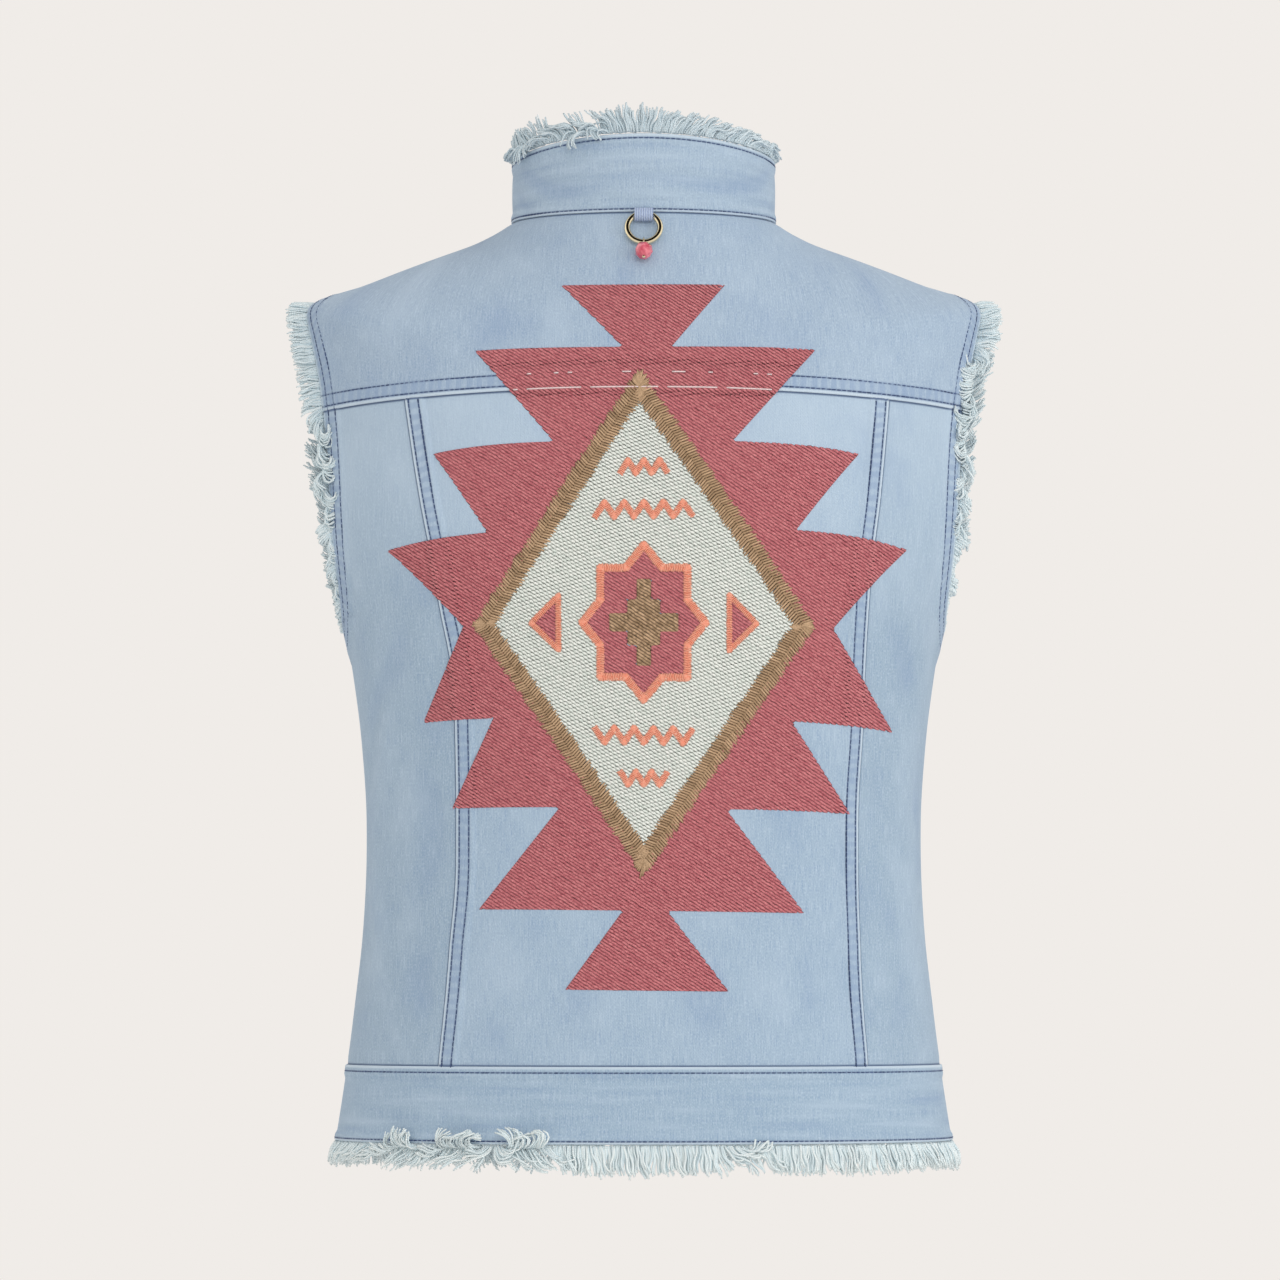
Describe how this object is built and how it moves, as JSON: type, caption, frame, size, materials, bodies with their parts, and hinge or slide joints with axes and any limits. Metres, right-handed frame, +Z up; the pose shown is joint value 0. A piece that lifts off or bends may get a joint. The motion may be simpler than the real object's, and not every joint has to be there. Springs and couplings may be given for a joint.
{
  "type": "denim vest",
  "caption": "Sleeveless denim vest, hollow as when worn, with a yoke, shaped back seams, a stand-up collar, frayed edges, a woven-style medallion on the back, and a ring and bead at the neck.",
  "frame": {"origin": "midway between the two points where the collar meets the shoulder seams, which is where the wearer's shoulders carry the vest", "axes": "+Z up the wearer's body, -Y out of the back of the vest (the pictured side), +Y out of the front, +X to the wearer's right"},
  "size_m": [0.4141, 0.2458, 0.6007],
  "materials": {
    "denim": "matte washed twill",
    "fray": "matte loose yarn",
    "loop_tape": "matte tape",
    "pale_gold": "polished, pale gold",
    "pink_bead": "glossy",
    "button_metal": "antiqued"
  },
  "bodies": {
    "vest": {"back_yoke": "denim", "back_centre_panel": "denim", "back_side_panel_left": "denim", "back_side_panel_right": "denim", "front_left": "denim", "front_right": "denim", "waistband_back": "denim", "waistband_left": "denim", "waistband_right": "denim", "collar": "denim", "collar_fringe": "fray", "armhole_fringe_left": "fray", "armhole_fringe_right": "fray", "hem_fringe_back": "fray", "hem_fringe_left": "fray", "hem_fringe_right": "fray", "hanger_loop": "loop_tape", "button_1": "button_metal", "button_2": "button_metal", "button_3": "button_metal", "button_4": "button_metal", "button_5": "button_metal", "waistband_button": "button_metal"},
    "ring": {"ring": "pale_gold"},
    "bead": {"bead": "pink_bead", "bead_pin": "pale_gold"}
  },
  "joints": [
    {"name": "ring_swing", "type": "hinge", "parent": "vest", "child": "ring", "pos_m": [0, -0.07154, -0.00219], "axis": [-1, 0, 0], "range_deg": [0, 100]},
    {"name": "bead_swing", "type": "hinge", "parent": "ring", "child": "bead", "pos_m": [0, -0.07851, -0.01824], "axis": [-1, 0, 0], "range_deg": [0, 75]}
  ]
}
